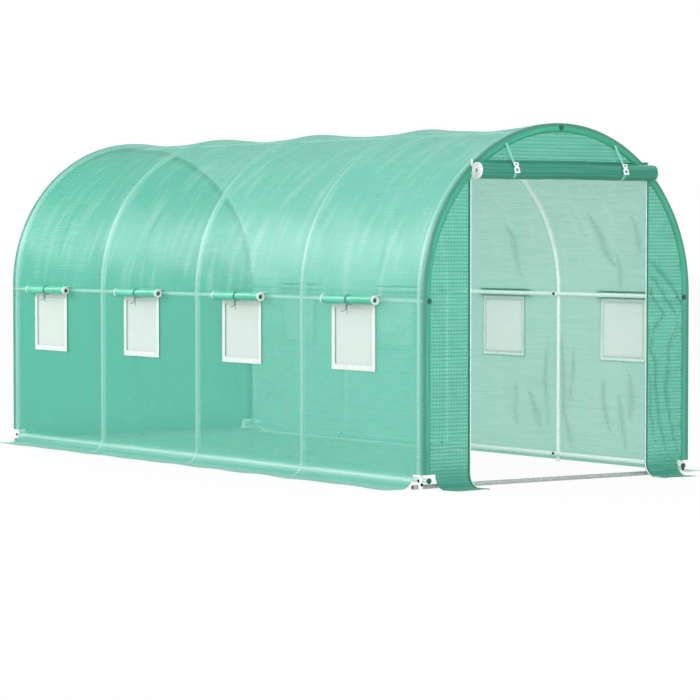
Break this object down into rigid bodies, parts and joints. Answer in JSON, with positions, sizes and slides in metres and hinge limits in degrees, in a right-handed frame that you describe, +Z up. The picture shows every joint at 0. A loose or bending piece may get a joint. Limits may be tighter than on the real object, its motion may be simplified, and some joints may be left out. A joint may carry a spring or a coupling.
{
  "type": "polytunnel greenhouse",
  "caption": "Walk-in polytunnel greenhouse: half-round steel hoops with rails and braces under a translucent green cover with roll-up door, netted windows and ground skirts.",
  "frame": {"origin": "middle of the footprint, on the ground under the skirts", "axes": "+X across the tunnel, +Y along it from the door end to the closed end, +Z up"},
  "size_m": [2.2656, 4.932, 2],
  "materials": {
    "steel_tube": "galvanised, satin",
    "green_film": "translucent polyethylene film with a thread grid",
    "green_double_film": "the same film folded double or rolled",
    "netting": "fine pale insect netting with a white border",
    "zip_tape": "white woven tape",
    "green_webbing": "dark green webbing and cord",
    "buckle_plastic": "white moulded plastic"
  },
  "bodies": {
    "root": {"back_panel": "green_film", "base_rail_back": "steel_tube", "base_rail_front": "steel_tube", "base_rail_left": "steel_tube", "base_rail_right": "steel_tube", "brace_left_front": "steel_tube", "brace_right_back": "steel_tube", "door_buckle_left": "buckle_plastic", "door_buckle_right": "buckle_plastic", "door_roll": "green_double_film", "door_strap_left": "green_webbing", "door_strap_right": "green_webbing", "door_zip_left": "zip_tape", "door_zip_right": "zip_tape", "front_panel_left": "green_film", "front_panel_right": "green_film", "front_panel_top": "green_film", "hem_back": "green_double_film", "hem_front": "green_double_film", "hoop_1_arch": "steel_tube", "hoop_1_posts": "steel_tube", "hoop_2_arch": "steel_tube", "hoop_2_posts": "steel_tube", "hoop_3_arch": "steel_tube", "hoop_3_posts": "steel_tube", "hoop_4_arch": "steel_tube", "hoop_4_posts": "steel_tube", "hoop_5_arch": "steel_tube", "hoop_5_posts": "steel_tube", "ridge_tube": "steel_tube", "roof_cover_1": "green_film", "roof_cover_2": "green_film", "roof_cover_3": "green_film", "roof_cover_4": "green_film", "tie_tails_left": "green_webbing", "tie_tails_right": "green_webbing", "waist_rail_left": "steel_tube", "waist_rail_right": "steel_tube", "wall_cover_left": "green_film", "wall_cover_right": "green_film", "window_flaps_left": "green_double_film", "window_flaps_right": "green_double_film", "window_screens_left": "netting", "window_screens_right": "netting", "window_ties_left": "green_webbing", "window_ties_right": "green_webbing"}
  },
  "joints": []
}
